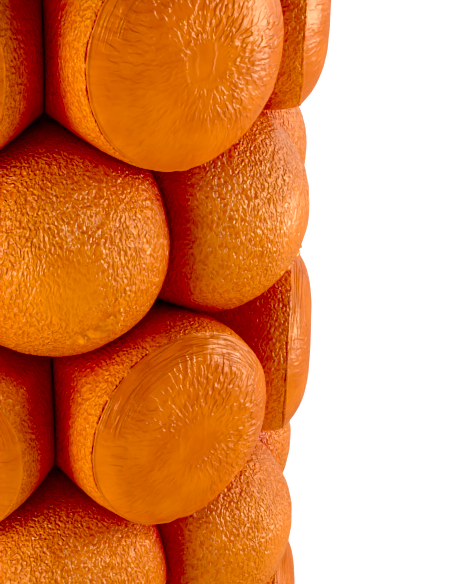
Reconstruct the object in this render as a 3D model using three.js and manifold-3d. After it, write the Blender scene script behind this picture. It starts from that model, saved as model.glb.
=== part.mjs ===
// A massage roller: a rigid hollow core tube covered with soft knobs.
// The knobs sit in level rows of seven. Rows of flat-topped knobs alternate with rows of
// round knobs, and each row is turned half a step so that it nests into the rows beside it.
// Millimetres, +Z up along the roller's axis, origin at the middle of the lower end.
import * as THREE from 'three';
import { mergeVertices } from 'three/addons/utils/BufferGeometryUtils.js';
import Module from 'manifold-3d';

const wasm = await Module();
wasm.setup();

// ---- Driving dimensions -------------------------------------------------------------
const KNOBS_PER_ROW = 7;
const ROWS = 7; // the first, third, fifth and seventh rows are flat-topped

const REACH = 73; // roller axis to the crown of a flat-topped knob
const ROUND_PROUD = 1.8; // how much farther out the crown of a round knob is
const TUBE_RADIUS = 42; // outside of the core tube
const TUBE_WALL = 4;
const TUBE_CHAMFER = 0.6; // broken edges of the tube's sawn ends
const TUBE_STAND = 0.8; // how far the tube stands out past the last row at each end

const RIM_RADIUS = 25.5; // crisp round edge of a flat-topped knob's cap
const CAP_RISE = 6.5; // crown of the cap above its rim
const BELLY_BULGE = 1.4; // how far the side wall swells past the rim
const BELLY_DROP = 9.5; // rim to the widest level of the side wall
const NECK_RADIUS = 25.2; // side wall just above the foot

const ROUND_RADIUS = 27.5; // widest radius of a round knob
const ROUND_DEPTH = 28.1; // crown of a round knob to its widest level

const FOOT_THICKNESS = 5; // spread foot that is glued to the tube
const NECK_RISE = 1.5; // foot to neck
const SQUEEZE = 1.7; // how much two knobs of neighbouring rows press into each other
const GAP = 0.3; // air left between any two pieces

// ---- Fineness of the facets ---------------------------------------------------------
const KNOB_FACETS = 16;
const TUBE_FACETS = 8 * KNOBS_PER_ROW; // a whole number for each half step round
const CAP_RINGS = [1, 0.78, 0.45]; // shares of the rim's radius
const ROUND_RINGS = 4;

// ---- Derived sizes and places -------------------------------------------------------
const STEP = (2 * Math.PI) / KNOBS_PER_ROW;
const TUBE_BORE_RADIUS = TUBE_RADIUS - TUBE_WALL;
const SEAT_RADIUS = TUBE_RADIUS + GAP;
const BELLY_RADIUS = RIM_RADIUS + BELLY_BULGE;
const ROUND_REACH = REACH + ROUND_PROUD;
const RIM_LEVEL = REACH - CAP_RISE;
const BELLY_LEVEL = RIM_LEVEL - BELLY_DROP;

// Two knobs of neighbouring rows are half a step apart round the axis. Their rows are as
// far apart as their widest radii ask for, less the squeeze.
const HALF_STEP_CHORD = 2 * BELLY_LEVEL * Math.sin(STEP / 4);
const ROW_PITCH = Math.sqrt((BELLY_RADIUS + ROUND_RADIUS - SQUEEZE) ** 2 - HALF_STEP_CHORD ** 2);

// The foot fills its share of the tube, out to the farthest corner of that share.
const FOOT_RADIUS = (HALF_STEP_CHORD ** 2 + ROW_PITCH ** 2) / (2 * ROW_PITCH) + GAP;
const FOOT_TOP = TUBE_RADIUS + FOOT_THICKNESS;
const NECK_LEVEL = FOOT_TOP + NECK_RISE;

const KNOB_END = BELLY_RADIUS; // row centre to the outer side of the last row
const TUBE_LENGTH = (ROWS - 1) * ROW_PITCH + 2 * (KNOB_END + TUBE_STAND);
const FIRST_ROW = TUBE_STAND + KNOB_END;

// ---- Materials ----------------------------------------------------------------------
const smoothCapFoam = new THREE.MeshStandardMaterial({ color: 0xdb6b09, roughness: 0.42, metalness: 0 });
const pebbledFoam = new THREE.MeshStandardMaterial({ color: 0xce6000, roughness: 0.55, metalness: 0 });
const coreShell = new THREE.MeshStandardMaterial({ color: 0x2a2b2d, roughness: 0.5, metalness: 0 });

// ---- Solids -------------------------------------------------------------------------
function toSolid(geometry) {
  const bare = geometry.clone();
  bare.deleteAttribute('normal');
  bare.deleteAttribute('uv');
  const merged = mergeVertices(bare, 1e-4);
  const mesh = new wasm.Mesh({
    numProp: 3,
    vertProperties: new Float32Array(merged.attributes.position.array),
    triVerts: new Uint32Array(merged.index.array),
  });
  return new wasm.Manifold(mesh);
}

function toGeometry(solid) {
  const mesh = solid.getMesh();
  const geometry = new THREE.BufferGeometry();
  geometry.setAttribute('position', new THREE.BufferAttribute(mesh.vertProperties, 3));
  geometry.setIndex(new THREE.BufferAttribute(mesh.triVerts, 1));
  geometry.computeVertexNormals();
  return geometry;
}

// A solid of revolution about +X from a profile of [level along X, radius] points.
function turnedAboutX(profile, facets) {
  const outline = profile.map(([level, radius]) => new THREE.Vector2(radius, level));
  return toSolid(new THREE.LatheGeometry(outline, facets).rotateZ(-Math.PI / 2));
}

// A solid of revolution about +Z from a profile of [height, radius] points.
function turnedAboutZ(profile, facets) {
  const outline = profile.map(([height, radius]) => new THREE.Vector2(radius, height));
  return new THREE.LatheGeometry(outline, facets).rotateX(Math.PI / 2);
}

// Everything beyond a plane that has the given normal, from the given distance on.
function beyond(point, normal, offset) {
  const size = 4 * ROUND_REACH;
  const block = new THREE.BoxGeometry(size, size, size);
  block.translate(0, 0, size / 2 + offset);
  const turn = new THREE.Quaternion().setFromUnitVectors(new THREE.Vector3(0, 0, 1), normal);
  block.applyQuaternion(turn);
  block.translate(point.x, point.y, point.z);
  return toSolid(block);
}

// ---- Knob profiles, from the roller's axis outwards -----------------------------------
// A knob's outer points, led up to by its foot. A point that would lie in the foot is
// left to the foot.
function onFoot(points) {
  const start = TUBE_RADIUS * Math.cos(STEP / 2) - GAP;
  const foot = [[start, 0], [start, FOOT_RADIUS], [FOOT_TOP, FOOT_RADIUS]];
  return foot.concat(points.filter(([level]) => level > FOOT_TOP));
}

function flatTopProfile() {
  const points = [
    [NECK_LEVEL, NECK_RADIUS],
    [BELLY_LEVEL, BELLY_RADIUS],
    [RIM_LEVEL - BELLY_DROP / 3, RIM_RADIUS + BELLY_BULGE * 0.75],
  ];
  // The cap is nearly level in its middle and rolls over to the rim.
  for (const share of CAP_RINGS) {
    points.push([REACH - CAP_RISE * share ** 4, RIM_RADIUS * share]);
  }
  points.push([REACH, 0]);
  return onFoot(points);
}

function roundTopProfile() {
  const points = [];
  const widestLevel = ROUND_REACH - ROUND_DEPTH;
  const neckAngle = Math.asin(Math.max(0, NECK_LEVEL - widestLevel) / ROUND_DEPTH);
  for (let i = 0; i < ROUND_RINGS; i += 1) {
    const angle = neckAngle + (Math.PI / 2 - neckAngle) * (i / ROUND_RINGS);
    points.push([widestLevel + ROUND_DEPTH * Math.sin(angle), ROUND_RADIUS * Math.cos(angle)]);
  }
  points.push([ROUND_REACH, 0]);
  return onFoot(points);
}

// ---- One knob, on +X at height 0, cut back from each neighbour that it has -------------
// A neighbour is met on the plane halfway to it: beside it in its own row, and half a
// step round in the row above or below. Where there is no row, the foot ends level.
function knobSolid(profile, hasRowAbove, hasRowBelow) {
  let knob = turnedAboutX(profile, KNOB_FACETS);
  knob = knob.subtract(toSolid(turnedAboutZ([
    [-2 * ROW_PITCH, 0],
    [-2 * ROW_PITCH, SEAT_RADIUS],
    [2 * ROW_PITCH, SEAT_RADIUS],
    [2 * ROW_PITCH, 0],
  ], TUBE_FACETS)));
  for (const side of [-1, 1]) {
    const normal = new THREE.Vector3(-Math.sin(STEP / 2), side * Math.cos(STEP / 2), 0);
    knob = knob.subtract(beyond(new THREE.Vector3(), normal, -GAP / 2));
  }
  for (const [up, hasRow] of [[1, hasRowAbove], [-1, hasRowBelow]]) {
    if (!hasRow) {
      knob = knob.subtract(beyond(new THREE.Vector3(), new THREE.Vector3(0, 0, up), KNOB_END));
      continue;
    }
    for (const side of [-1, 1]) {
      const here = new THREE.Vector3(BELLY_LEVEL, 0, 0);
      const there = new THREE.Vector3(
        BELLY_LEVEL * Math.cos(STEP / 2),
        side * BELLY_LEVEL * Math.sin(STEP / 2),
        up * ROW_PITCH,
      );
      const middle = here.clone().add(there).multiplyScalar(0.5);
      const normal = there.sub(here).normalize();
      knob = knob.subtract(beyond(middle, normal, -GAP / 2));
    }
  }
  return knob;
}

// ---- The roller ---------------------------------------------------------------------
const roller = new THREE.Group();

const tube = new THREE.Mesh(turnedAboutZ([
  [TUBE_CHAMFER, TUBE_RADIUS],
  [TUBE_LENGTH - TUBE_CHAMFER, TUBE_RADIUS],
  [TUBE_LENGTH, TUBE_RADIUS - TUBE_CHAMFER],
  [TUBE_LENGTH, TUBE_BORE_RADIUS + TUBE_CHAMFER],
  [TUBE_LENGTH - TUBE_CHAMFER, TUBE_BORE_RADIUS],
  [TUBE_CHAMFER, TUBE_BORE_RADIUS],
  [0, TUBE_BORE_RADIUS + TUBE_CHAMFER],
  [0, TUBE_RADIUS - TUBE_CHAMFER],
  [TUBE_CHAMFER, TUBE_RADIUS],
], TUBE_FACETS), coreShell);
tube.name = 'core_tube';
roller.add(tube);

for (let row = 0; row < ROWS; row += 1) {
  const flatTopped = row % 2 === 0;
  const profile = flatTopped ? flatTopProfile() : roundTopProfile();
  const knob = toGeometry(knobSolid(profile, row < ROWS - 1, row > 0));
  // Flat rows start on +Y and round rows half a step on, so that the roller is as wide
  // on one side of its axis as on the other.
  const firstAngle = Math.PI / 2 + (flatTopped ? 0 : STEP / 2);
  for (let place = 0; place < KNOBS_PER_ROW; place += 1) {
    const mesh = new THREE.Mesh(knob, flatTopped ? smoothCapFoam : pebbledFoam);
    const kind = flatTopped ? 'flat_knob' : 'round_knob';
    mesh.name = `${kind}_row${row + 1}_${place + 1}`;
    mesh.position.z = FIRST_ROW + row * ROW_PITCH;
    mesh.rotation.z = firstAngle + place * STEP;
    roller.add(mesh);
  }
}

export default roller;
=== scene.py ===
# %% [markdown]
# # A foam massage roller with flat and round knobs
# The roller is a stiff tube with forty-nine foam knobs glued round it, in seven rings of seven.
# The rings take turns: knobs with a flat face, then knobs with a round one, each ring turned by
# half a knob so that every knob sits in the hollow between its neighbours.
# A roller could be modelled as one bumpy skin, but a maker glues on separate mouldings, and only
# separate pieces give the sharp dark creases between them. So each knob here is its own object.
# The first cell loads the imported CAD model, which fixes every place and size.

# %% Load the frame
from math import cos, pi, radians, sin

import bpy
import numpy as np
from mathutils import Matrix, Vector


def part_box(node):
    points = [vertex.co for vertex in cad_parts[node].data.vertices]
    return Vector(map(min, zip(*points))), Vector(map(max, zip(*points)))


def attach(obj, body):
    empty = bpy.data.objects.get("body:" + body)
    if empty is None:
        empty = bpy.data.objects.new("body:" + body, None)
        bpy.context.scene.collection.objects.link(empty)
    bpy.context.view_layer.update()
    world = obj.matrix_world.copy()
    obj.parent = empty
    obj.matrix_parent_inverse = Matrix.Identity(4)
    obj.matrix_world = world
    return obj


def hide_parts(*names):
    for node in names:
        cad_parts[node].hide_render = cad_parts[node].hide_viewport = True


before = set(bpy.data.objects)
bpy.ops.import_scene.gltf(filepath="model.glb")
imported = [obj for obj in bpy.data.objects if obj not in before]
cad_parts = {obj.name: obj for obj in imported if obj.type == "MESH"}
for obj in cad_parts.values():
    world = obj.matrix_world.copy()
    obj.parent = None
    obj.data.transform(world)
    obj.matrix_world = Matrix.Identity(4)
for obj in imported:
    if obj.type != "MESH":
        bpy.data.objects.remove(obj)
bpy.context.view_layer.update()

# %% [markdown]
# ## Sizes that the frame gives
# On the real roller every knob sits on the same tube, so one height, one reach and one angle place
# them all. These could be typed in again, but then two models would have to be kept in step.
# Reading them from the CAD nodes' boxes lets a change of size there arrive here by itself. Blender
# works in metres, and foam is easier to think about in millimetres, so `MM` turns one into the
# other.

# %% Measure the frame
MM = 0.001
KNOBS_PER_ROW = 7
ROWS = 7
STEP = 2 * pi / KNOBS_PER_ROW


def middle_height(node):
    low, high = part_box(node)
    return (low.z + high.z) / 2


ROW_PITCH = (middle_height("flat_knob_row5_1") - middle_height("flat_knob_row3_1")) / 2
ROW_3 = middle_height("flat_knob_row3_1")
FLAT_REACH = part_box("flat_knob_row1_1")[1].y
ROUND_REACH = -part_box("round_knob_row2_4")[0].y
tube_low, tube_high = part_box("core_tube")
TUBE_RADIUS = (tube_high.x - tube_low.x) / 2
BORE_RADIUS = min(Vector(v.co.xy).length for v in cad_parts["core_tube"].data.vertices)


def row_height(row):
    return ROW_3 + (row - 3) * ROW_PITCH


LARGE_NUDGES = {(7, 4): -3.4, (5, 4): -3.4}
SMALL_NUDGE = 0.35
LAST_NUDGED_ROW = 3
nudge_rng = np.random.default_rng(7)
small_nudges = nudge_rng.uniform(-SMALL_NUDGE, SMALL_NUDGE, (ROWS + 1, KNOBS_PER_ROW + 1))


def knob_azimuth(row, place):
    """Which way a knob faces, with the small error of gluing it by hand."""
    place = (place - 1) % KNOBS_PER_ROW + 1
    small = small_nudges[row, place] if row <= LAST_NUDGED_ROW else 0
    nudge = LARGE_NUDGES.get((row, place), small)
    half_step = 0 if row % 2 == 1 else STEP / 2
    return pi / 2 + (place - 1) * STEP + half_step + radians(nudge)


print(f"rows are {ROW_PITCH / MM:.2f} mm apart, flat knobs reach {FLAT_REACH / MM:.1f} mm,")
print(f"round knobs {ROUND_REACH / MM:.1f} mm, on a tube of radius {TUBE_RADIUS / MM:.1f} mm")

# %% [markdown]
# ## The camera
# A camera can be aimed by dragging it, by a constraint that tracks a target, or by angles. Angles
# are chosen here because they can be read and changed one at a time. It stands close to the
# roller, a little above its top row, and looks down along the rows. Its place is given from the
# roller's axis, and three angles turn it: to the side, down, and a small roll. It comes before the
# making, so that every test render is framed the same way.

# %% Camera
CAMERA_DISTANCE = 0.34607
CAMERA_ABOVE_TOP_ROW = 0.08329
CAMERA_ROUND = radians(-3.265)
CAMERA_SIDE = radians(8.233)
CAMERA_DOWN = radians(-25.583)
CAMERA_ROLL = radians(1.776)
CAMERA_LENS_MM = 86.05

level_share = cos(CAMERA_DOWN)
look = Vector((sin(CAMERA_SIDE) * level_share, cos(CAMERA_SIDE) * level_share, sin(CAMERA_DOWN)))
level_right = Vector((cos(CAMERA_SIDE), -sin(CAMERA_SIDE), 0))
level_up = level_right.cross(look)
right = cos(CAMERA_ROLL) * level_right + sin(CAMERA_ROLL) * level_up
up = cos(CAMERA_ROLL) * level_up - sin(CAMERA_ROLL) * level_right
camera_turn = Matrix((right, up, -look)).transposed()
walk_round = Matrix.Rotation(CAMERA_ROUND, 3, "Z")
camera_place = walk_round @ Vector((0, -CAMERA_DISTANCE, 0))
camera_place.z = row_height(7) + CAMERA_ABOVE_TOP_ROW

camera_data = bpy.data.cameras.new("studio_camera")
camera_data.lens = CAMERA_LENS_MM
camera_data.clip_start = 0.01
camera = bpy.data.objects.new("studio_camera", camera_data)
bpy.context.scene.collection.objects.link(camera)
camera.matrix_world = Matrix.Translation(camera_place) @ (walk_round @ camera_turn).to_4x4()
bpy.context.scene.camera = camera
print("camera stands at", [round(v, 3) for v in camera.matrix_world.translation])

# %% [markdown]
# ## The floor
# A studio table is a white sheet that glows in the light it gets. Lighting a plain white plane
# brightly enough would also wash out the foam, so this plane gives off its own light. Two nodes
# tune it: the Light Path node makes it darker in reflections, which keeps the foam's colour deep,
# and Ambient Occlusion darkens it softly round the roller's foot, so that the roller stands on it.

# %% Floor
FLOOR_HALF = 3.0
FLOOR_GLOW = 1.05
GLOW_IN_REFLECTIONS = 0.12
CONTACT_REACH = 160 * MM
CONTACT_DARKNESS = 0.35

floor_mesh = bpy.data.meshes.new("studio_floor")
floor_corners = [(-FLOOR_HALF, -FLOOR_HALF, 0), (FLOOR_HALF, -FLOOR_HALF, 0),
                 (FLOOR_HALF, FLOOR_HALF, 0), (-FLOOR_HALF, FLOOR_HALF, 0)]
floor_mesh.from_pydata(floor_corners, [], [(0, 1, 2, 3)])
floor = bpy.data.objects.new("studio_floor", floor_mesh)
bpy.context.scene.collection.objects.link(floor)
print(f"the floor is {2 * FLOOR_HALF:.0f} m square")

# %% Floor finish
floor_finish = bpy.data.materials.new("pale_floor")
floor_finish.use_nodes = True
floor_tree = floor_finish.node_tree
floor_shader = floor_tree.nodes["Principled BSDF"]
floor_shader.inputs["Base Color"].default_value = (0.25, 0.25, 0.25, 1)
floor_shader.inputs["Roughness"].default_value = 0.9
floor_shader.inputs["Emission Color"].default_value = (1, 1, 1, 1)
seen_from = floor_tree.nodes.new("ShaderNodeLightPath")
glow = floor_tree.nodes.new("ShaderNodeMapRange")
glow.inputs["To Min"].default_value = FLOOR_GLOW
glow.inputs["To Max"].default_value = GLOW_IN_REFLECTIONS
floor_tree.links.new(seen_from.outputs["Is Glossy Ray"], glow.inputs["Value"])
shade = floor_tree.nodes.new("ShaderNodeAmbientOcclusion")
shade.samples = 8
shade.inputs["Distance"].default_value = CONTACT_REACH
soft_shade = floor_tree.nodes.new("ShaderNodeMapRange")
soft_shade.inputs["From Min"].default_value = CONTACT_DARKNESS
soft_shade.inputs["To Min"].default_value = CONTACT_DARKNESS
lit_floor = floor_tree.nodes.new("ShaderNodeMath")
lit_floor.operation = "MULTIPLY"
floor_tree.links.new(shade.outputs["AO"], soft_shade.inputs["Value"])
floor_tree.links.new(soft_shade.outputs["Result"], lit_floor.inputs[0])
floor_tree.links.new(glow.outputs["Result"], lit_floor.inputs[1])
floor_tree.links.new(lit_floor.outputs[0], floor_shader.inputs["Emission Strength"])
floor_mesh.materials.append(floor_finish)
print("the floor's finish has", len(floor_tree.nodes), "nodes")

# %% [markdown]
# ## The lights
# Grain only reads when light rakes across it, so the two main lights are tall soft panels at the
# sides, the left one wide and strong, the right one narrow and warm for the small glints. A wide
# wall behind and to the right lights the far edges. One weak panel overhead fills the tops of the
# knobs; it is hidden from reflections, as it would lay a pale haze on them. Lamps without size
# would be simpler, but they give hard specks instead of soft glints.


# %% Lights
def soft_panel(name, stands_at, width, height, watts, tint):
    panel = bpy.data.lights.new(name, "AREA")
    panel.shape = "RECTANGLE"
    panel.size = width
    panel.size_y = height
    panel.energy = watts
    panel.color = tint
    stand = bpy.data.objects.new(name, panel)
    bpy.context.scene.collection.objects.link(stand)
    stand.location = stands_at
    aim = Vector((0, 0, 0.22)) - Vector(stands_at)
    stand.rotation_euler = aim.to_track_quat("-Z", "Y").to_euler()
    return stand


panels = [
    soft_panel("left_panel", (-0.88, -0.58, 0.33), 0.40, 1.2, 12.6, (1, 0.97, 0.92)),
    soft_panel("right_panel", (0.86, -0.06, 0.33), 0.28, 0.65, 7.4, (1, 0.89, 0.74)),
    soft_panel("back_wall", (1.2, 1.15, 0.7), 3.0, 1.6, 18, (1, 0.95, 0.88)),
    soft_panel("top_panel", (-0.5, -0.6, 1.3), 1.2, 1.2, 2.6, (1, 1, 1)),
]
panels[-1].visible_glossy = False
print("lights, in watts:", {panel.name: round(panel.data.energy, 1) for panel in panels})

# %% [markdown]
# ## The surroundings
# The room round a studio table is white to the eye but adds little light of its own. The Light
# Path node lets the world be bright where the camera looks straight at it and dim as a light.

# %% Surroundings
WORLD_SEEN = 1.1
WORLD_AS_LIGHT = 0.05
studio = bpy.data.worlds.new("studio")
bpy.context.scene.world = studio
studio.use_nodes = True
sky = studio.node_tree.nodes["Background"]
sky.inputs["Color"].default_value = (1, 1, 1, 1)
sees = studio.node_tree.nodes.new("ShaderNodeLightPath")
strength = studio.node_tree.nodes.new("ShaderNodeMapRange")
strength.inputs["To Min"].default_value = WORLD_AS_LIGHT
strength.inputs["To Max"].default_value = WORLD_SEEN
studio.node_tree.links.new(sees.outputs["Is Camera Ray"], strength.inputs["Value"])
studio.node_tree.links.new(strength.outputs["Result"], sky.inputs["Strength"])
print("the world gives", WORLD_AS_LIGHT, "as light and", WORLD_SEEN, "to the camera")

# %% [markdown]
# ## Contrast
# A product picture is usually developed with deep blacks. Raising the black level of green and
# blue alone deepens the shadows and turns them red, as they are between orange knobs. It could be
# done in the materials, but then the foam's own colour would be wrong in any other light.

# %% View settings
view = bpy.context.scene.view_settings
view.view_transform = "Standard"
view.use_curve_mapping = True
view.curve_mapping.black_level = (0.0, 0.055, 0.050)
view.curve_mapping.update()
print("black levels:", [round(level, 3) for level in view.curve_mapping.black_level])

# %% [markdown]
# ## One knob's shape
# Every knob is a foam moulding that is round about its own axis. It could be sculpted, or turned
# with the Screw modifier, but neither lets each point know how far its neighbours are. So it is
# drawn as rings of points: each ring starts as a circle from the knob's profile, small swells move
# its points in and out, as foam never fills a mould quite evenly, and then the neighbours press it.

# %% Knob sizes
RIM_RADIUS = 25.5 * MM
CAP_RISE = 6.5 * MM
BELLY_DROP = 9.5 * MM
BELLY_BULGE = 1.4 * MM
NECK_RADIUS = 26.6 * MM
ROUND_RADIUS = 27.5 * MM
ROUND_DEPTH = 28.1 * MM
FOOT_RADIUS = 30.4 * MM
NECK_HEIGHT = 2.2 * MM
GLUE_GAP = 0.3 * MM
TOUCH_GAP = 0.15 * MM
END_LIMIT = 26.9 * MM
SECTORS = 240

RIM_LEVEL = FLAT_REACH - CAP_RISE
BELLY_LEVEL = RIM_LEVEL - BELLY_DROP
SEAT_RADIUS = TUBE_RADIUS + GLUE_GAP
NECK_LEVEL = SEAT_RADIUS + NECK_HEIGHT
theta = np.arange(SECTORS) * 2 * pi / SECTORS
print(f"rim at {RIM_LEVEL / MM:.1f} mm from the roller's axis, widest at {BELLY_LEVEL / MM:.1f} mm,")
print(f"seat at {SEAT_RADIUS / MM:.1f} mm, with {SECTORS} points round each ring")

# %% [markdown]
# ## Helpers for soft shapes
# Foam has no hard corners, so every change from one form to another needs a smooth step. Swells
# are sums of waves in random directions. Blender's own noise would do too, but sums of waves
# can be worked out for all the points of a knob at once, and a fixed seed always repeats them.


# %% Smooth helpers
def ease(low, high, value):
    """0 below low, 1 above high, and a smooth step between them."""
    share = np.clip((value - low) / (high - low), 0, 1)
    return share * share * (3 - 2 * share)


def soft_min(a, b, blend):
    """The smaller of two lengths, with a rounded corner where they cross."""
    share = np.clip(0.5 + 0.5 * (b - a) / blend, 0, 1)
    return b * (1 - share) + a * share - blend * share * (1 - share)


def swells(points, size, rng, waves=16):
    """A gentle random height at each point, mostly from -1 to 1, with hills about size apart."""
    total = np.zeros(points.shape[:-1])
    for _ in range(waves):
        way = rng.normal(size=3)
        way = way / np.linalg.norm(way) * 2 * pi / (size * rng.uniform(0.75, 1.5))
        total += np.cos(points @ way + rng.uniform(0, 2 * pi))
    return total / np.sqrt(waves) / 1.4


def round_noise(angle, rng, lowest, highest):
    """A random height round a circle, mostly from -1 to 1, of waves that close on themselves."""
    total = np.zeros_like(angle)
    for turns in range(lowest, highest + 1):
        total += np.cos(turns * angle + rng.uniform(0, 2 * pi)) * rng.uniform(0.4, 1)
    return total / np.sqrt(highest - lowest + 1) / 0.75


print("half-way up a step, ease gives", float(ease(0, 2, 1)))

# %% [markdown]
# ## The two profiles
# A profile is the outline of half a knob, as a lathe would cut it. The flat knob has a shallow cap
# that bends down ever faster to a crisp rim, a side that swells a little, and a neck. The round
# knob is most of a ball. Rings stand close together where a fine mark needs them, at the rim and
# at the line near the tip, and wide apart elsewhere, which keeps the mesh light.


# %% Profiles
def flat_profile():
    """Radius and height of each ring of a flat knob, and how far each lies past the rim."""
    share = np.concatenate([np.linspace(0.025, 0.86, 26), np.linspace(0.88, 0.955, 5)])
    cap_radius = share * RIM_RADIUS
    near_rim = RIM_RADIUS + np.array([-0.95, -0.75, -0.58, -0.42, -0.28, -0.15, 0]) * MM
    cap_radius = np.concatenate([cap_radius, near_rim])
    cap_height = FLAT_REACH - CAP_RISE * (cap_radius / RIM_RADIUS) ** 4
    fine_drop = np.array([0.12, 0.24, 0.36, 0.5, 0.7, 1.0, 1.4, 1.9, 2.5])
    drop = np.concatenate([fine_drop, np.arange(3.2, 9.5, 0.8)]) * MM
    side_radius = RIM_RADIUS + BELLY_BULGE * np.sin(pi / 2 * drop / BELLY_DROP) ** 0.8
    side_height = RIM_LEVEL - drop
    low_share = np.linspace(0, 1, 12)
    low_radius = BELLY_BULGE + RIM_RADIUS - (RIM_RADIUS + BELLY_BULGE - NECK_RADIUS) * low_share ** 2
    low_height = BELLY_LEVEL - (BELLY_LEVEL - NECK_LEVEL) * low_share
    radius = np.concatenate([cap_radius, side_radius, low_radius])
    height = np.concatenate([cap_height, side_height, low_height])
    steps = np.hypot(np.diff(radius), np.diff(height))
    length = np.concatenate([[0], np.cumsum(steps)])
    rim_ring = len(cap_radius) - 1
    return radius, height, length - length[rim_ring]


TIP_SIZE = 27.8
TIP_LINE_ANGLE = radians(28)
TIP_LINE_WANDER = radians(1.2)
BALL_END = radians(97)


def round_profile(tip_angle):
    """Polar angle of each ring of a round knob at each sector, close together at the tip line."""
    near_line = np.array([-1.5, -1.1, -0.8, -0.55, -0.35, -0.18, 0, 0.18, 0.35, 0.55, 0.8, 1.1, 1.5])
    offsets = np.concatenate([near_line, np.arange(1.85, 6.2, 0.35)])
    fine = offsets[:, None] / TIP_SIZE + tip_angle[None]
    inner = np.linspace(0.03, 0.95, 15)[:, None] * fine[0][None]
    outer_share = np.linspace(0, 1, 31)[1:, None]
    outer = fine[-1][None] + (BALL_END - fine[-1][None]) * outer_share
    return np.vstack([inner, fine, outer])


flat_rings = flat_profile()
print("a flat knob's profile has", len(flat_rings[0]), "rings, cap, side and neck")

# %% [markdown]
# ## Foam pressed by its neighbours
# Where two knobs meet, each gives way to a flat face half-way between them. A cloth or soft-body
# simulation could find that face, but it is slow and shifts a little every time it runs. Here the
# code works out, for each ring and each direction, how far it may reach before it passes the
# middle plane, and keeps the smaller of the two lengths with a rounded corner, as soft foam would.


# %% Middle planes to the neighbours
def neighbours(row, place):
    """The row and place of every knob that touches this one."""
    beside = [(row, place - 1), (row, place + 1)]
    first = place - 1 if row % 2 == 1 else place
    for other in (row - 1, row + 1):
        if 1 <= other <= ROWS:
            beside += [(other, first), (other, first + 1)]
    return beside


def middle_planes(row, place):
    """Each plane's direction from this knob, and its distance. The two beside it come first."""
    here = Vector((0, 0, BELLY_LEVEL))
    planes = []
    for other_row, other_place in neighbours(row, place):
        turn = knob_azimuth(other_row, other_place) - knob_azimuth(row, place)
        turn = (turn + pi) % (2 * pi) - pi
        if other_row == row:
            side = 1 if turn > 0 else -1
            planes.append((Vector((side * cos(turn / 2), 0, -abs(sin(turn / 2)))), -TOUCH_GAP))
        else:
            rise = (other_row - row) * ROW_PITCH
            there = Vector((BELLY_LEVEL * sin(turn), rise, BELLY_LEVEL * cos(turn)))
            way = (there - here).normalized()
            planes.append((way, way.dot((here + there) / 2) - TOUCH_GAP))
    return planes


print("a knob in the third row touches", len(middle_planes(3, 1)), "others")

# %% [markdown]
# ## Pressing, and the foot
# `pressed` can be given any rings, so the same few lines press the cap, the side and the foot. The
# foot flares out until it meets its neighbours, and ends in a saddle that follows the tube, since
# a flat underside would leave a gap. The crevice mask notes how close the neighbours are at each
# point, and the material paints shade where they are close. That could be baked as ambient
# occlusion, but a measured distance is quick and has no noise.


# %% Press a ring, and find the crevices
def pressed(radius, height, row, planes, blend=1.3 * MM):
    """The rings' radius after the neighbours have pressed on them."""
    out = radius
    for way, distance in planes:
        lean = way.x * np.cos(theta) + way.y * np.sin(theta)
        lean = np.broadcast_to(lean, out.shape)
        room = np.where(lean > 0.05, (distance - way.z * height) / np.maximum(lean, 0.05), 1.0)
        out = soft_min(out, room, blend)
    for end, side in ((1, -1), (ROWS, 1)):
        if row == end:
            lean = np.broadcast_to(side * np.sin(theta), out.shape)
            room = np.where(lean > 0.05, END_LIMIT / np.maximum(lean, 0.05), 1.0)
            out = np.minimum(out, room)
    return out


def crevice_shade(radius, height, planes):
    """Where shade is painted: 1 deep down between two knobs and 0 where nothing is near."""
    room = []
    for way, distance in planes:
        reach = radius * (way.x * np.cos(theta) + way.y * np.sin(theta)) + way.z * height
        room.append(distance - reach)
    beside = ease(10 * MM, 1.5 * MM, np.minimum(room[0], room[1]))
    above_or_below = ease(4 * MM, 0.5 * MM, np.min(room[2:], axis=0))
    low_enough = ease(BELLY_LEVEL + 8.5 * MM, BELLY_LEVEL - 4 * MM, height)
    return np.maximum(beside, above_or_below) * low_enough


def foot_rings(last_radius, last_height, row, planes):
    """The flare down to the tube, and the saddle that sits on it."""
    wide = np.full((1, SECTORS), FOOT_RADIUS)
    edge = np.full(SECTORS, 20 * MM)
    for _ in range(14):
        seat = np.sqrt(SEAT_RADIUS ** 2 - (edge * np.cos(theta)) ** 2)
        edge = pressed(wide, seat[None], row, planes)[0]
    radius = []
    height = []
    for share in np.linspace(0, 1, 8)[1:]:
        level = last_height * (1 - share) + seat * share
        flare = last_radius + (FOOT_RADIUS - last_radius) * (1 - np.sqrt(1 - share ** 2))
        radius.append(pressed(flare[None], level[None], row, planes)[0])
        height.append(level)
    radius[-1] = edge
    for share in (0.8, 0.55, 0.3):
        radius.append(edge * share)
        height.append(np.sqrt(SEAT_RADIUS ** 2 - (edge * share * np.cos(theta)) ** 2))
    return np.array(radius), np.array(height)


print(f"pressed faces stay {2 * TOUCH_GAP / MM:.1f} mm apart, so no knob cuts into another")

# %% [markdown]
# ## Marks that the mould leaves
# The flat face seems to be formed by an insert in the mould: round it runs a thin raised lip and a
# ragged groove, deep on one side and fading out on the other. A bump could fake it, but the groove shows
# at the edge of the knob, where a bump can't change the outline, so it is modelled. The function
# also hands back where the groove is, where the material paints shade into it.

# %% Rim lip and groove of a flat knob
SHALLOW_RIMS = {(7, 6): 0.30, (5, 6): 0.45}
LIP_HEIGHT = 0.32 * MM
GROOVE_DEPTH = 0.44 * MM
DEEPEST_SHARE = 1.4


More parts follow.
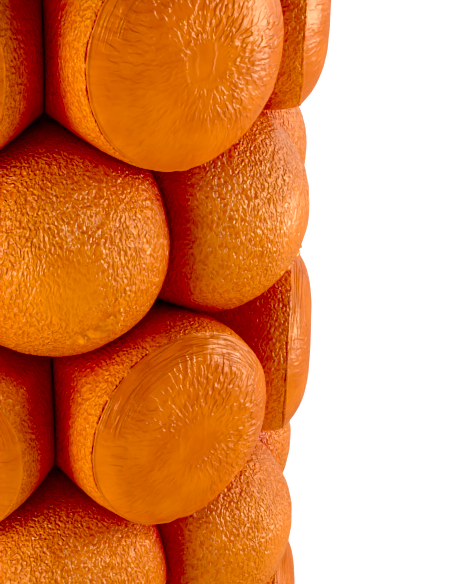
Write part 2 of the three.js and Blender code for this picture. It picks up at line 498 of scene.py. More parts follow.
def rim_marks(past_rim, rng, strength):
    """How far the lip and groove lift each point, and where the groove is."""
    lean = radians(rng.normal(215, 14))
    towards = 0.5 + 0.5 * np.cos(theta - lean)
    ragged = round_noise(theta, rng, 9, 46)
    uneven = 0.12 + 1.0 * towards ** 1.3 + 0.45 * ragged * towards
    depth = strength * np.clip(uneven, 0, DEEPEST_SHARE)
    shift = 0.10 * MM * round_noise(theta, rng, 6, 30)
    from_lip = (past_rim[:, None] + 0.26 * MM) / (0.22 * MM)
    lip = LIP_HEIGHT * np.clip(depth, 0.3, 1) * np.exp(-from_lip ** 2)
    from_slot = (past_rim[:, None] - 0.34 * MM - shift) / (0.20 * MM)
    slot = depth * np.exp(-from_slot ** 2)
    return lip - GROOVE_DEPTH * slot, np.clip(slot, 0, 1)


print("grooves are at most", round(DEEPEST_SHARE * GROOVE_DEPTH / MM, 2), "mm deep")

# %% [markdown]
# ## Marks near the tip of a round knob
# The round mould splits close to the tip. It leaves a faint ring there, along part of it a torn
# fin of foam that the maker calls flash, and on some knobs a lumpy scar where the foam went in.
# Three knobs at the front have their marks listed, and all others draw theirs at random.


# %% Tip line, flash and scar of a round knob
TIP_MARKS = {
    (6, 4): {"flash": (-130, -95, 0.25), "scar": (-57, 33.5, 6.6, 2.2, 1.25)},
    (6, 5): {"flash": (-107, -44, 0.75), "scar": None},
    (4, 5): {"flash": (-124, -2, 0.45), "scar": None},
}
SCARRED_SHARE = 0.4


def tip_plan(row, place, rng):
    """The flash, as degrees from, to and millimetres high, and the scar if there is one.

    A scar is its turn and angle in degrees, half its length and width, and its height."""
    if (row, place) in TIP_MARKS:
        return TIP_MARKS[(row, place)]
    start = rng.uniform(-140, -80)
    plan = {"flash": (start, start + rng.uniform(25, 95), rng.uniform(0.15, 0.6)), "scar": None}
    if rng.uniform() < SCARRED_SHARE:
        turn = rng.uniform(-110, -40)
        angle = rng.uniform(29, 34)
        half_long = rng.uniform(3, 5)
        half_wide = rng.uniform(1.5, 2.3)
        plan["scar"] = (turn, angle, half_long, half_wide, 0.3)
    return plan


def tip_marks(polar, tip_angle, plan, points, rng):
    """How far the marks lift each point of a round knob."""
    start, stop, height = plan["flash"]
    middle = radians((start + stop) / 2)
    half = radians((stop - start) / 2)
    off = np.abs((theta - middle + pi) % (2 * pi) - pi)
    along = ease(half + 0.12, half - 0.08, off)
    torn = np.clip(0.55 + 0.55 * round_noise(theta, rng, 12, 60), 0.08, 1.3)
    from_line = (polar - tip_angle[None]) * TIP_SIZE * MM
    fin = height * MM * along * torn * np.exp(-(from_line / (0.27 * MM)) ** 2)
    faint = 0.05 * MM * (1 + 0.6 * round_noise(theta, rng, 2, 8)) * np.tanh(-from_line / (0.35 * MM))
    faint = faint * np.exp(-(from_line / (3.0 * MM)) ** 2)
    lift = fin + faint
    mark = along * np.exp(-(from_line / (0.5 * MM)) ** 2) * min(height * 1.6, 1)
    if plan["scar"]:
        turn, angle, half_long, half_wide, rise = plan["scar"]
        sideways = ((theta - radians(turn) + pi) % (2 * pi) - pi)[None] * TIP_SIZE * np.sin(polar)
        downward = (polar - radians(angle)) * TIP_SIZE
        blob = np.hypot(sideways / half_long, downward / half_wide)
        blob = blob + 0.26 * swells(points, 2.6 * MM, rng) + 0.16 * swells(points, 1.3 * MM, rng)
        body = ease(1.12, 0.72, blob)
        lip = np.exp(-((blob - 0.85) / 0.16) ** 2)
        lumps = 0.45 * swells(points, 2.0 * MM, rng) + 0.25 * swells(points, 1.1 * MM, rng)
        torn_lip = 0.7 * lip * (0.6 + 0.8 * swells(points, 1.8 * MM, rng))
        lift = lift + rise * MM * (body * (0.35 + lumps) + torn_lip)
        mark = np.maximum(mark, ease(1.5, 0.9, blob))
    return lift, mark


print(len(TIP_MARKS), "round knobs have their marks set by hand")

# %% [markdown]
# ## From rings to a mesh
# Each point is first lifted along its own normal, by the swells and the marks, and only then
# pressed, so that a pressed face stays flat whatever the foam does elsewhere. The masks are kept
# on the mesh as point attributes, which materials can read and which go with the mesh when it is
# copied. A second way is an image texture, but that needs an unwrapping first.


# %% Rings of one knob
SWELL_HEIGHT = 0.20 * MM
SWELL_SIZE = 17 * MM
RIPPLE_HEIGHT = 0.07 * MM
RIPPLE_SIZE = 4.5 * MM


def along_normals(radius, height):
    """Each ring point's outward direction, as its share outward and its share upward."""
    d_radius = np.gradient(radius, axis=0)
    d_height = np.gradient(height, axis=0)
    size = np.maximum(np.hypot(d_radius, d_height), 1e-9)
    return -d_height / size, d_radius / size


def knob_rings(row, place):
    """A knob's rings, radius and height, with its masks and the height of its tip."""
    flat = row % 2 == 1
    rng = np.random.default_rng(1000 + row * 10 + place)
    if flat:
        ring_radius, ring_height, past_rim = flat_rings
        radius = np.repeat(ring_radius[:, None], SECTORS, 1)
        height = np.repeat(ring_height[:, None], SECTORS, 1)
        crown = FLAT_REACH
    else:
        tip_angle = TIP_LINE_ANGLE + TIP_LINE_WANDER * round_noise(theta, rng, 1, 4)
        polar = round_profile(tip_angle)
        radius = ROUND_RADIUS * np.sin(polar)
        height = ROUND_REACH - ROUND_DEPTH + ROUND_DEPTH * np.cos(polar)
        crown = ROUND_REACH
    points = np.stack([radius * np.cos(theta), radius * np.sin(theta), height], -1)
    outward, upward = along_normals(radius, height)
    calm = ease(0, 9 * MM, radius)
    lift = SWELL_HEIGHT * swells(points, SWELL_SIZE, rng)
    lift = lift + RIPPLE_HEIGHT * swells(points, RIPPLE_SIZE, rng)
    if flat:
        cap = ease(RIM_LEVEL, RIM_LEVEL + 1.0 * MM, height)
        rim_lift, mark = rim_marks(past_rim, rng, SHALLOW_RIMS.get((row, place), 1.0))
        lift = lift * (1 - 0.45 * cap) * calm + rim_lift
    else:
        plan = tip_plan(row, place, rng)
        tip_lift, mark = tip_marks(polar, tip_angle, plan, points, rng)
        lift = lift * calm + tip_lift
    radius = radius + outward * lift
    height = height + upward * lift
    planes = middle_planes(row, place)
    radius = pressed(radius, height, row, planes)
    low_radius, low_height = foot_rings(radius[-1], height[-1], row, planes)
    radius = np.vstack([radius, low_radius])
    height = np.vstack([height, low_height])
    mark = np.vstack([mark, np.zeros_like(low_radius)])
    masks = {"mould_mark": mark, "crevice_shade": crevice_shade(radius, height, planes)}
    return radius, height, masks, crown


print(f"swells lift the skin by about {SWELL_HEIGHT / MM:.2f} mm, ripples by {RIPPLE_HEIGHT / MM:.2f} mm")


# %% Mesh of one knob
def knob_mesh(name, row, place):
    """Joins the rings with four-sided faces, and closes the tip and the seat with triangles."""
    radius, height, masks, crown = knob_rings(row, place)
    rings = len(radius)
    points = np.stack([radius * np.cos(theta), radius * np.sin(theta), height], -1).reshape(-1, 3)
    points = np.vstack([points, [[0, 0, crown]], [[0, 0, SEAT_RADIUS]]])
    ring_start = np.arange(rings - 1)[:, None] * SECTORS
    here = np.arange(SECTORS)[None]
    nearby = (here + 1) % SECTORS
    quads = np.stack([ring_start + here, ring_start + SECTORS + here,
                      ring_start + SECTORS + nearby, ring_start + nearby], -1).reshape(-1, 4)
    top = rings * SECTORS
    last = (rings - 1) * SECTORS
    faces = quads.tolist()
    faces += [[top, s, (s + 1) % SECTORS] for s in range(SECTORS)]
    faces += [[top + 1, last + (s + 1) % SECTORS, last + s] for s in range(SECTORS)]
    mesh = bpy.data.meshes.new(name)
    mesh.from_pydata(points.tolist(), [], faces)
    mesh.shade_smooth()
    for mask_name, mask in masks.items():
        layer = mesh.attributes.new(mask_name, "FLOAT", "POINT")
        layer.data.foreach_set("value", np.append(mask.ravel(), [0, 1]).astype(np.float32))
    mesh.update()
    return mesh


print("each gap between two rings is closed with", SECTORS, "four-sided faces")

# %% [markdown]
# ## All forty-nine knobs
# The maker sets flat knobs and round knobs in turn, row by row, so two loops make them all. They
# could be copies of one mesh, but real foam knobs differ, and each is pressed by its own
# neighbours. A knob's own axes are kept: Z points out from the roller, Y up, X round it. Materials
# that use Object coordinates then follow each knob, whatever side of the roller it is on.


# %% Make the knobs
def make_knob(row, place):
    flat = row % 2 == 1
    kind = "flat" if flat else "round"
    node = f"{kind}_knob_row{row}_{place}"
    azimuth = knob_azimuth(row, place)
    mesh = knob_mesh(f"foam_{node}", row, place)
    knob = bpy.data.objects.new(f"foam_{node}", mesh)
    bpy.context.scene.collection.objects.link(knob)
    out = Vector((cos(azimuth), sin(azimuth), 0))
    sideways = Vector((-sin(azimuth), cos(azimuth), 0))
    knob.matrix_world = Matrix(((sideways.x, 0, out.x, 0), (sideways.y, 0, out.y, 0),
                                (0, 1, 0, row_height(row)), (0, 0, 0, 1)))
    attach(knob, "root")
    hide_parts(node)
    return knob


flat_knobs = []
round_knobs = []
for row in range(1, ROWS + 1):
    for place in range(1, KNOBS_PER_ROW + 1):
        (flat_knobs if row % 2 == 1 else round_knobs).append(make_knob(row, place))
print(len(flat_knobs), "flat knobs and", len(round_knobs), "round knobs,",
      len(flat_knobs[0].data.polygons), "faces on a flat one")

# %% [markdown]
# ## Small tools for building shader groups
# A node group is a reusable effect: it has named inputs and outputs, and any material can place
# it with its own values. Groups can be wired by hand in the shader editor, but written down they
# can be read, compared and built again. These helpers add nodes, set and link their inputs, and
# hand back what the next step needs.

# %% Helpers for groups and sockets
VECTOR = "NodeSocketVector"
NUMBER = "NodeSocketFloat"
COLOUR = "NodeSocketColor"
MM_PER_METRE = 1000.0


def new_group(name, inputs, outputs):
    """A node group with named sockets, and the two nodes that stand for them inside it."""
    group = bpy.data.node_groups.new(name, "ShaderNodeTree")
    for socket_name, kind, value in inputs:
        socket = group.interface.new_socket(socket_name, in_out="INPUT", socket_type=kind)
        if value is not None:
            socket.default_value = value
    for socket_name, kind in outputs:
        group.interface.new_socket(socket_name, in_out="OUTPUT", socket_type=kind)
    return group, group.nodes.new("NodeGroupInput"), group.nodes.new("NodeGroupOutput")


def feed(tree, socket, value):
    """Links an output to a socket, or types a plain value into it."""
    if isinstance(value, bpy.types.NodeSocket):
        tree.links.new(value, socket)
    else:
        socket.default_value = value


def add(tree, kind, settings=None, **inputs):
    node = tree.nodes.new(kind)
    for key, value in (settings or {}).items():
        setattr(node, key, value)
    for key, value in inputs.items():
        feed(tree, node.inputs[key.replace("_", " ")], value)
    return node


print("sockets here carry a", VECTOR, "a", NUMBER, "or a", COLOUR)


# %% Helpers for sums, steps and mixes
def calc(tree, operation, first, second=None, third=None):
    node = tree.nodes.new("ShaderNodeMath")
    node.operation = operation
    for place, value in enumerate((first, second, third)):
        if value is not None:
            feed(tree, node.inputs[place], value)
    return node.outputs[0]


def times(tree, first, second):
    return calc(tree, "MULTIPLY", first, second)


def plus(tree, first, second):
    return calc(tree, "ADD", first, second)


def distance_from_axis(tree, x, y):
    return calc(tree, "SQRT", plus(tree, times(tree, x, x), times(tree, y, y)))


def between(tree, value, low, high, out_low=0.0, out_high=1.0):
    """A smooth step that gives out_low at low and out_high at high."""
    node = tree.nodes.new("ShaderNodeMapRange")
    node.interpolation_type = "SMOOTHSTEP"
    ends = {"Value": value, "From Min": low, "From Max": high, "To Min": out_low, "To Max": out_high}
    for key, item in ends.items():
        feed(tree, node.inputs[key], item)
    return node.outputs["Result"]


def blend(tree, share, first, second):
    """The first colour at share 0, the second at share 1."""
    node = tree.nodes.new("ShaderNodeMix")
    node.data_type = "RGBA"
    feed(tree, node.inputs["Factor"], share)
    feed(tree, node.inputs[6], first)
    feed(tree, node.inputs[7], second)
    return node.outputs[2]


def combine(tree, x, y, z):
    node = tree.nodes.new("ShaderNodeCombineXYZ")
    for place, value in enumerate((x, y, z)):
        feed(tree, node.inputs[place], value)
    return node.outputs[0]


def vector_calc(tree, operation, first, second):
    node = tree.nodes.new("ShaderNodeVectorMath")
    node.operation = operation
    tree.links.new(first, node.inputs[0])
    feed(tree, node.inputs["Scale" if operation == "SCALE" else 1], second)
    return node.outputs[0]


def mask_on_mesh(tree, name):
    return add(tree, "ShaderNodeAttribute", {"attribute_name": name}).outputs["Fac"]


print("the helpers are ready, and there are", len(bpy.data.node_groups), "node groups so far")

# %% [markdown]
# ## Where on the knob
# Every effect needs the same facts about a point: its place in millimetres, its distance from the
# knob's axis, and a number that differs from knob to knob, so that no two look the same. An
# unwrapping would stretch wherever a knob is pressed, while Object coordinates keep true
# millimetres on all of them.

# %% Group: knob place
place_group, _, place_out = new_group("knob place", [], [
    ("Place", VECTOR), ("Radius", NUMBER), ("Level", NUMBER), ("Seed", NUMBER), ("Up Share", NUMBER)])
tree = place_group
coordinates = add(tree, "ShaderNodeTexCoord")
in_mm = vector_calc(tree, "SCALE", coordinates.outputs["Object"], MM_PER_METRE)
parts = add(tree, "ShaderNodeSeparateXYZ", Vector=in_mm)
upward = parts.outputs[1]
radius = calc(tree, "MAXIMUM", distance_from_axis(tree, parts.outputs[0], upward), 0.05)
whose = add(tree, "ShaderNodeObjectInfo")
facts = {
    "Place": in_mm,
    "Radius": radius,
    "Level": parts.outputs[2],
    "Seed": times(tree, whose.outputs["Random"], 400.0),
    "Up Share": calc(tree, "DIVIDE", upward, radius),
}
for fact, value in facts.items():
    tree.links.new(value, place_out.inputs[fact])
print("knob place gives", ", ".join(facts))

# %% [markdown]
# ## Grain of the foam's skin
# The skin is a dense field of small soft bumps, a little longer than wide and bent here and there.
# Bumps well under a millimetre could be carved into the mesh, but that takes millions of faces, so
# this group gives a height for the Bump node instead. A noise whose lookup place is bent by a
# slower noise gives the worm shapes, and a second, finer one sets smaller bumps between them.

# %% Group: skin grain
grain_group, grain_in, grain_out = new_group(
    "skin grain",
    [("Place", VECTOR, None), ("Seed", NUMBER, 0.0), ("Per mm", NUMBER, 1.0), ("Stretch", NUMBER, 0.6)],
    [("Height", NUMBER), ("Pits", NUMBER)])
tree = grain_group
per_mm = grain_in.outputs["Per mm"]
spread = combine(tree, 1.0, grain_in.outputs["Stretch"], 1.0)
stretched = vector_calc(tree, "MULTIPLY", grain_in.outputs["Place"], spread)
moved = vector_calc(tree, "ADD", stretched, combine(tree, grain_in.outputs["Seed"], 0.0, 0.0))
bend = add(tree, "ShaderNodeTexNoise", Vector=moved, Scale=0.4, Detail=1.0)
bent = vector_calc(tree, "ADD", moved, vector_calc(tree, "SCALE", bend.outputs["Color"], 1.5))
worms = add(tree, "ShaderNodeTexNoise", Vector=bent, Scale=per_mm, Detail=0.6, Roughness=0.4)
domes = between(tree, worms.outputs[0], 0.30, 0.70)
second_place = vector_calc(tree, "ADD", bent, combine(tree, 31.0, 17.0, 5.0))
second = add(tree, "ShaderNodeTexNoise", Vector=second_place, Scale=times(tree, per_mm, 1.9),
             Detail=0.5, Roughness=0.4)
small_domes = between(tree, second.outputs[0], 0.30, 0.70)
fine = add(tree, "ShaderNodeTexNoise", Vector=moved, Scale=3.5, Detail=1.5)
height = plus(tree, times(tree, domes, 0.70), times(tree, small_domes, 0.25))
height = plus(tree, height, times(tree, fine.outputs[0], 0.07))
tree.links.new(height, grain_out.inputs["Height"])
# Pits marks the low ground between bumps, where the colour group paints shade.
tree.links.new(between(tree, height, 0.45, 0.15), grain_out.inputs["Pits"])
print("skin grain has", len(tree.nodes), "nodes")

# %% [markdown]
# ## Wrinkles of the flat face
# The flat face set against a smooth insert, and its skin drew into fine wrinkles that run out
# from the middle like spokes. A drawn image would give every knob the same ones. Noise looked up
# with the direction on one side and the logarithm of the radius on the other gives marks that
# grow outward but keep their shape. Three such noises take over from each other on the way out,
# each with more marks round than the last, so that the marks never grow coarse.

# %% Group: face wrinkles
wrinkle_group, wrinkle_in, wrinkle_out = new_group(
    "face wrinkles",
    [("Place", VECTOR, None), ("Radius", NUMBER, 1.0), ("Seed", NUMBER, 0.0), ("Up Share", NUMBER, 0.0)],
    [("Height", NUMBER)])
tree = wrinkle_group
from_middle = wrinkle_in.outputs["Radius"]
seed = wrinkle_in.outputs["Seed"]
where = add(tree, "ShaderNodeSeparateXYZ", Vector=wrinkle_in.outputs["Place"])
out_x = calc(tree, "DIVIDE", where.outputs[0], from_middle)
out_y = calc(tree, "DIVIDE", where.outputs[1], from_middle)
log_radius = calc(tree, "LOGARITHM", from_middle, 2.71828)


def spoke_noise(count, offset):
    """Short marks that point outward; the larger count is, the smaller they are."""
    along = calc(tree, "MULTIPLY_ADD", log_radius, count * 0.50, seed)
    side = calc(tree, "MULTIPLY_ADD", out_x, count, offset)
    spoke_place = combine(tree, side, times(tree, out_y, count), along)
    marks = add(tree, "ShaderNodeTexNoise", Vector=spoke_place, Scale=1.0, Detail=0.7, Roughness=0.4,
                Distortion=0.35)
    return marks.outputs[0]


def crossfade(share, first, second):
    return calc(tree, "MULTIPLY_ADD", calc(tree, "SUBTRACT", second, first), share, first)


spokes = crossfade(between(tree, from_middle, 7.5, 10.5), spoke_noise(7.5, 0.0), spoke_noise(11.5, 40.0))
spokes = crossfade(between(tree, from_middle, 13.0, 17.0), spokes, spoke_noise(16.5, 90.0))
spoke_ridge = between(tree, spokes, 0.38, 0.64)
print("the spokes take", len(tree.nodes), "nodes")

# %% [markdown]
# ## Where the wrinkles fade
# They start a little way out from the middle, come in patches, are weaker to the lower left, and
# fade by the rim. Along the upper rim they turn into a few arcs that run round instead of out.

# %% Patches and arcs of the wrinkles
ring_along = calc(tree, "MULTIPLY_ADD", from_middle, 1.5, seed)
ring_place = combine(tree, times(tree, out_x, 2.4), times(tree, out_y, 2.4), ring_along)
rings = add(tree, "ShaderNodeTexNoise", Vector=ring_place, Scale=1.0, Detail=1.5, Roughness=0.5,
            Distortion=0.5)
ring_ridge = between(tree, rings.outputs[0], 0.42, 0.64)
patch_place = vector_calc(tree, "ADD", wrinkle_in.outputs["Place"], combine(tree, 0.0, 0.0, seed))
patches = add(tree, "ShaderNodeTexNoise", Vector=patch_place, Scale=0.09, Detail=2.0)
patchy = between(tree, patches.outputs[0], 0.34, 0.56, 0.40, 1.0)
slant = plus(tree, times(tree, out_x, 0.7), times(tree, out_y, 0.7))
patchy = times(tree, patchy, between(tree, slant, -0.9, 0.35, 0.50, 1.0))
start = between(tree, from_middle, 4.0, 7.5)
fade = between(tree, from_middle, 21.0, 25.0, 1.0, 0.5)
near_top = between(tree, wrinkle_in.outputs["Up Share"], 0.1, 0.75)
top_edge = times(tree, between(tree, from_middle, 18.0, 22.5), near_top)
spoke_part = times(tree, times(tree, spoke_ridge, patchy), times(tree, start, fade))
spoke_part = times(tree, spoke_part, calc(tree, "SUBTRACT", 1.0, times(tree, top_edge, 0.75)))
ring_part = times(tree, ring_ridge, times(tree, top_edge, 1.2))
tree.links.new(plus(tree, spoke_part, ring_part), wrinkle_out.inputs["Height"])
print("face wrinkles has", len(tree.nodes), "nodes")

# %% [markdown]
# ## The plug in the middle of the face
# In the middle of each flat face is a small smooth pad, taller than wide, with one upright crease.
# It is too low to change the outline, so it is a height for the bump too and costs no faces.

# %% Group: face pad
PAD_X = -0.6
PAD_Y = 2.2
PAD_HALF_WIDTH = 3.6
PAD_HALF_HEIGHT = 4.4
CREASE_X = -1.8

pad_group, pad_in, pad_out = new_group(
    "face pad", [("Place", VECTOR, None), ("Seed", NUMBER, 0.0)], [("Height", NUMBER)])
tree = pad_group
pad_place = vector_calc(tree, "ADD", pad_in.outputs["Place"],
                        combine(tree, 0.0, 0.0, pad_in.outputs["Seed"]))
pad_wave = add(tree, "ShaderNodeTexNoise", Vector=pad_place, Scale=0.35, Detail=1.0)
pad_by = vector_calc(tree, "SCALE", pad_wave.outputs["Color"], 2.4)
pad_bent = vector_calc(tree, "ADD", pad_in.outputs["Place"], pad_by)
where = add(tree, "ShaderNodeSeparateXYZ", Vector=pad_bent)


def off_centre(value, middle, half):
    """0 at the pad's middle and 1 at its edge, one way."""
    return calc(tree, "ABSOLUTE", calc(tree, "DIVIDE", calc(tree, "SUBTRACT", value, middle), half))


pad_x = off_centre(where.outputs[0], PAD_X, PAD_HALF_WIDTH)
pad_y = off_centre(where.outputs[1], PAD_Y, PAD_HALF_HEIGHT)
both = plus(tree, calc(tree, "POWER", pad_x, 4.0), calc(tree, "POWER", pad_y, 4.0))
pad_edge = calc(tree, "POWER", both, 0.25)
pad_ring = times(tree, between(tree, pad_edge, 0.8, 1.0), between(tree, pad_edge, 1.0, 1.22, 1.0, 0.0))
crease_x = calc(tree, "ABSOLUTE", calc(tree, "SUBTRACT", where.outputs[0], CREASE_X))
crease_reach = between(tree, pad_y, 0.5, 0.85, 1.0, 0.0)
crease = times(tree, between(tree, crease_x, 0.0, 0.9, 1.0, 0.0), crease_reach)
pad_height = plus(tree, times(tree, pad_ring, 0.6), times(tree, crease, 0.7))
tree.links.new(pad_height, pad_out.inputs["Height"])
print(f"the pad is {2 * PAD_HALF_WIDTH:.1f} mm wide and {2 * PAD_HALF_HEIGHT:.1f} mm tall")

# %% [markdown]
# ## Colour of the foam, and painted shade
# The pigment is a strong orange, a little yellower in broad soft patches. The rest is painted
# shade: the pits of the grain are painted redder, and low down between the knobs the colour turns
# a deep red, standing in for the shade there and for light that only arrives after bouncing from
# foam to foam. Light scattering inside the foam could be simulated, but that is slow and hard to
# steer, so the mask stored on each mesh mixes in the painted red.

# %% Group: foam colour
colour_group, colour_in, colour_out = new_group(
    "foam colour",
    [("Place", VECTOR, None), ("Seed", NUMBER, 0.0), ("Crevice", NUMBER, 0.0), ("Pits", NUMBER, 0.0),
     ("Main", COLOUR, (0.72, 0.155, 0.004, 1)), ("Painted Shade", COLOUR, (0.48, 0.005, 0.0007, 1))],
    [("Color", COLOUR)])
tree = colour_group
main = colour_in.outputs["Main"]
deep = colour_in.outputs["Painted Shade"]
tone_place = vector_calc(tree, "ADD", colour_in.outputs["Place"],
                         combine(tree, 0.0, colour_in.outputs["Seed"], 0.0))
tone = add(tree, "ShaderNodeTexNoise", Vector=tone_place, Scale=0.12, Detail=3.0, Roughness=0.55)
lighter = blend(tree, 0.35, main, (0.85, 0.25, 0.01, 1))
toned = blend(tree, between(tree, tone.outputs[0], 0.35, 0.65), main, lighter)
# Painted shade: the pits of the grain are turned towards the deep red.
pit_shaded = blend(tree, times(tree, colour_in.outputs["Pits"], 0.35), toned, deep)
# Painted shade: the deep red is mixed in low down between the knobs, where the crevice mask says.
painted_shade_share = times(tree, colour_in.outputs["Crevice"], 0.9)
tree.links.new(blend(tree, painted_shade_share, pit_shaded, deep), colour_out.inputs["Color"])
print("node groups so far:", [group.name for group in bpy.data.node_groups])

# %% [markdown]
# ## From groups to finishes
# A finish is a material with the groups placed in it. Both foams take their relief from a Bump
# node and have slightly warm glints, so one function joins colour and relief to the shader for
# the two of them. The shader itself stays in the material, where its plain values are easy to find.


# %% Place a group in a material
GLINT_TINT = (1, 0.86, 0.74, 1)


def place(tree, group, **inputs):
    node = tree.nodes.new("ShaderNodeGroup")
    node.node_tree = group
    for key, value in inputs.items():
        feed(tree, node.inputs[key.replace("_", " ")], value)
    return node


def new_finish(name):
    finish = bpy.data.materials.new(name)
    finish.use_nodes = True
    return finish, finish.node_tree, finish.node_tree.nodes["Principled BSDF"]


def foam_surface(tree, shader, colour, relief, depth, gloss):
    bump = add(tree, "ShaderNodeBump", Strength=1.0, Distance=depth, Height=relief)
    tree.links.new(colour, shader.inputs["Base Color"])
    tree.links.new(bump.outputs[0], shader.inputs["Normal"])
    shader.inputs["Specular IOR Level"].default_value = gloss
    shader.inputs["Specular Tint"].default_value = GLINT_TINT


print("glints are tinted", GLINT_TINT[:3])

# %% [markdown]
# ## The flat knobs' finish
# Two skins on one knob: the face is smooth, semi-gloss and wrinkled, the side is grained. Two
# materials could be given to two sets of faces, but then the change would be a hard line. The
# height of a point above the rim tells the skins apart here, and they blend over half a
# millimetre. Shade is painted into the groove round the face: a darker red, where its mask says so.

# %% Flat knob foam
FACE_ORANGE = (0.62, 0.145, 0.008, 1)
SIDE_ORANGE = (0.78, 0.225, 0.010, 1)
GROOVE_SHADE_RED = (0.40, 0.022, 0.0015, 1)

flat_finish, tree, shader = new_finish("flat_knob_foam")
at = place(tree, place_group)
spot = {"Place": at.outputs["Place"], "Seed": at.outputs["Seed"]}
on_face = between(tree, at.outputs["Level"], RIM_LEVEL / MM - 0.15, RIM_LEVEL / MM + 0.35)
on_side = calc(tree, "SUBTRACT", 1.0, on_face)
side_grain = place(tree, grain_group, **spot, Per_mm=1.30, Stretch=0.7)
wrinkles = place(tree, wrinkle_group, **spot, Radius=at.outputs["Radius"],
                 Up_Share=at.outputs["Up Share"])
pad = place(tree, pad_group, **spot)
wrinkle_height = times(tree, wrinkles.outputs["Height"], 0.70)
face_height = plus(tree, wrinkle_height, times(tree, pad.outputs["Height"], 0.25))
side_height = times(tree, side_grain.outputs["Height"], on_side)
relief = plus(tree, times(tree, face_height, on_face), side_height)
side_pits = times(tree, side_grain.outputs["Pits"], on_side)
skin_colour = blend(tree, on_face, SIDE_ORANGE, FACE_ORANGE)
# The crevice mask paints shade low down between the knobs.
colour = place(tree, colour_group, **spot, Crevice=mask_on_mesh(tree, "crevice_shade"), Pits=side_pits,
               Main=skin_colour)
# Painted shade: the groove round the face is tinted a dark red.
in_groove = between(tree, mask_on_mesh(tree, "mould_mark"), 0.15, 0.6)
foam_surface(tree, shader, blend(tree, in_groove, colour.outputs[0], GROOVE_SHADE_RED), relief, 0.40 * MM, 0.46)
tree.links.new(between(tree, on_face, 0.0, 1.0, 0.28, 0.30), shader.inputs["Roughness"])
for knob in flat_knobs:
    knob.data.materials.append(flat_finish)
print("the flat knobs' finish has", len(tree.nodes), "nodes")

# %% [markdown]
# ## The round knobs' finish
# One skin all over, glossier than the flat knobs', with deeper bumps that are longer up and down.
# The grain is calmer near the tip, and on a scar, where the foam was torn. Separate materials for
# those spots would leave hard lines; both only turn the grain's height down, so the same grain
# group serves, with other values than on the flat knobs.

# %% Round knob foam
ROUND_ORANGE = (0.76, 0.213, 0.010, 1)
SCAR_ORANGE = (0.82, 0.25, 0.015, 1)

round_finish, tree, shader = new_finish("round_knob_foam")
at = place(tree, place_group)
spot = {"Place": at.outputs["Place"], "Seed": at.outputs["Seed"]}
round_grain = place(tree, grain_group, **spot, Per_mm=1.4, Stretch=0.55)
scar_mark = mask_on_mesh(tree, "mould_mark")
off_tip = between(tree, at.outputs["Radius"], 4.0, 13.0, 0.35, 1.0)
grained = times(tree, off_tip, between(tree, scar_mark, 0.0, 0.8, 1.0, 0.15))
relief = times(tree, round_grain.outputs["Height"], grained)
# The crevice mask paints shade low down between the knobs.
colour = place(tree, colour_group, **spot, Crevice=mask_on_mesh(tree, "crevice_shade"), Main=ROUND_ORANGE,
               Pits=times(tree, round_grain.outputs["Pits"], grained))
scar_colour = blend(tree, times(tree, scar_mark, 0.4), colour.outputs[0], SCAR_ORANGE)
foam_surface(tree, shader, scar_colour, relief, 0.46 * MM, 0.9)
shader.inputs["Roughness"].default_value = 0.24
for knob in round_knobs:
    knob.data.materials.append(round_finish)
print("the round knobs' finish has", len(tree.nodes), "nodes")

# %% [markdown]
# ## The core tube
# Under the foam is a stiff extruded tube. It shows only at its two cut ends and inside its bore.
# Two cylinders and a Boolean would give it knife edges. It is turned as one closed profile
# instead, with the sharp edges of the saw cut taken off, so that its edges catch a line of light.

# %% Core tube shape
EDGE = 0.5 * MM
AROUND = 192
tube_end = tube_high.z
corners = [
    (TUBE_RADIUS - EDGE, EDGE, -pi / 2),
    (TUBE_RADIUS - EDGE, tube_end - EDGE, 0),
    (BORE_RADIUS + EDGE, tube_end - EDGE, pi / 2),
    (BORE_RADIUS + EDGE, EDGE, pi),
]
outline = []
for middle_radius, middle_z, first_angle in corners:
    for turn in np.linspace(0, pi / 2, 5) + first_angle:
        outline.append((middle_radius + EDGE * cos(turn), middle_z + EDGE * sin(turn)))
tube_points = []
for ring_radius, ring_z in outline:
    for step in range(AROUND):
        angle = 2 * pi * step / AROUND
        tube_points.append((ring_radius * cos(angle), ring_radius * sin(angle), ring_z))
tube_faces = []
for ring in range(len(outline)):
    here = ring * AROUND
    after = (ring + 1) % len(outline) * AROUND
    for step in range(AROUND):
        next_step = (step + 1) % AROUND
        tube_faces.append((here + step, here + next_step, after + next_step, after + step))
tube_mesh = bpy.data.meshes.new("turned_core_tube")
tube_mesh.from_pydata(tube_points, [], tube_faces)
tube_mesh.shade_smooth()
core = bpy.data.objects.new("turned_core_tube", tube_mesh)
bpy.context.scene.collection.objects.link(core)
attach(core, "root")
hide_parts("core_tube")
print(f"the tube is {2 * TUBE_RADIUS / MM:.0f} mm across with a {2 * BORE_RADIUS / MM:.0f} mm bore")

# %% [markdown]
# ## The tube's plastic
# Extruding drags fine lines along the tube, and the saw leaves shallow arcs on the cut ends. A
# little dust settles on it. All three only change the roughness, the colour and the bump a
# little, which is enough to stop the plastic looking like paint.

# %% Group: extruded plastic
SAW_CENTRE_MM = 260.0

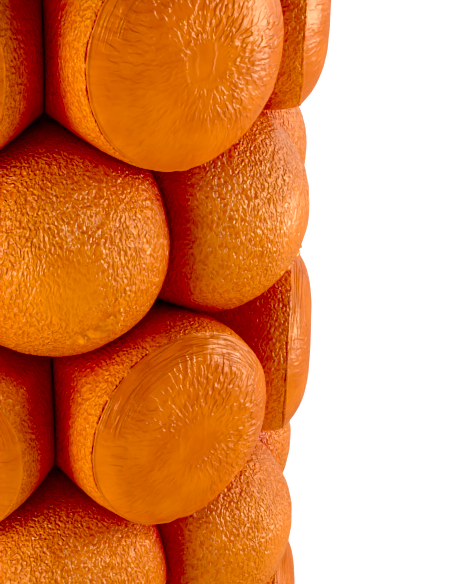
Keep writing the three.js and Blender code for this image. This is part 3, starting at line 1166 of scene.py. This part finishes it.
plastic_group, plastic_in, plastic_out = new_group(
    "extruded plastic", [("Lines per mm", NUMBER, 1.6), ("Saw Pitch", NUMBER, 0.9)],
    [("Lines", NUMBER), ("Saw", NUMBER), ("Dust", NUMBER), ("Cut End", NUMBER)])
tree = plastic_group
coordinates = add(tree, "ShaderNodeTexCoord")
in_mm = vector_calc(tree, "SCALE", coordinates.outputs["Object"], MM_PER_METRE)
where = add(tree, "ShaderNodeSeparateXYZ", Vector=in_mm)
tube_x = where.outputs[0]
tube_y = where.outputs[1]
long_place = combine(tree, tube_x, tube_y, times(tree, where.outputs[2], 0.012))
die_lines = add(tree, "ShaderNodeTexNoise", Vector=long_place, Scale=plastic_in.outputs["Lines per mm"],
                Detail=2.0)
saw_far = distance_from_axis(tree, plus(tree, tube_x, SAW_CENTRE_MM), tube_y)
saw_turns = calc(tree, "DIVIDE", saw_far, plastic_in.outputs["Saw Pitch"])
saw_place = combine(tree, saw_turns, times(tree, tube_y, 0.03), 0.0)
saw_arcs = add(tree, "ShaderNodeTexNoise", Vector=saw_place, Scale=1.0, Detail=2.5)
dust_noise = add(tree, "ShaderNodeTexNoise", Vector=in_mm, Scale=0.5, Detail=4.0, Roughness=0.65)
facing = add(tree, "ShaderNodeSeparateXYZ", Vector=coordinates.outputs["Normal"])
effects = {
    "Lines": die_lines.outputs[0],
    "Saw": saw_arcs.outputs[0],
    "Dust": between(tree, dust_noise.outputs[0], 0.50, 0.72),
    "Cut End": between(tree, calc(tree, "ABSOLUTE", facing.outputs[2]), 0.75, 0.95),
}
for effect, value in effects.items():
    tree.links.new(value, plastic_out.inputs[effect])
print("extruded plastic gives", ", ".join(effects))

# %% [markdown]
# ## The tube's finish
# The plastic is a dark grey, and paler and duller where it was sawn. The group says where a point
# is on a cut end, so one material serves the whole tube, and the bump stays shallow, as the marks
# of a die and of a fine saw are.

# %% Core tube finish
tube_finish, tree, shader = new_finish("core_plastic")
plastic = place(tree, plastic_group)
cut_end = plastic.outputs["Cut End"]
dust = plastic.outputs["Dust"]
lines = times(tree, plastic.outputs["Lines"], calc(tree, "SUBTRACT", 1.0, cut_end))
saw = times(tree, plastic.outputs["Saw"], cut_end)
skin = blend(tree, plastic.outputs["Lines"], (0.085, 0.091, 0.094, 1), (0.115, 0.122, 0.126, 1))
sawn = blend(tree, plastic.outputs["Saw"], (0.140, 0.147, 0.150, 1), (0.200, 0.208, 0.212, 1))
bare = blend(tree, cut_end, skin, sawn)
dusty = blend(tree, times(tree, dust, 0.18), bare, (0.30, 0.28, 0.26, 1))
tree.links.new(dusty, shader.inputs["Base Color"])
shine = between(tree, cut_end, 0.0, 1.0, 0.34, 0.55)
shine = calc(tree, "MULTIPLY_ADD", dust, 0.15, calc(tree, "MULTIPLY_ADD", lines, 0.12, shine))
tree.links.new(shine, shader.inputs["Roughness"])
tube_relief = plus(tree, times(tree, lines, 0.4), saw)
tube_bump = add(tree, "ShaderNodeBump", Strength=0.8, Distance=0.15 * MM, Height=tube_relief)
tree.links.new(tube_bump.outputs[0], shader.inputs["Normal"])
tube_mesh.materials.append(tube_finish)
print("finishes:", [finish.name for finish in (flat_finish, round_finish, tube_finish)])
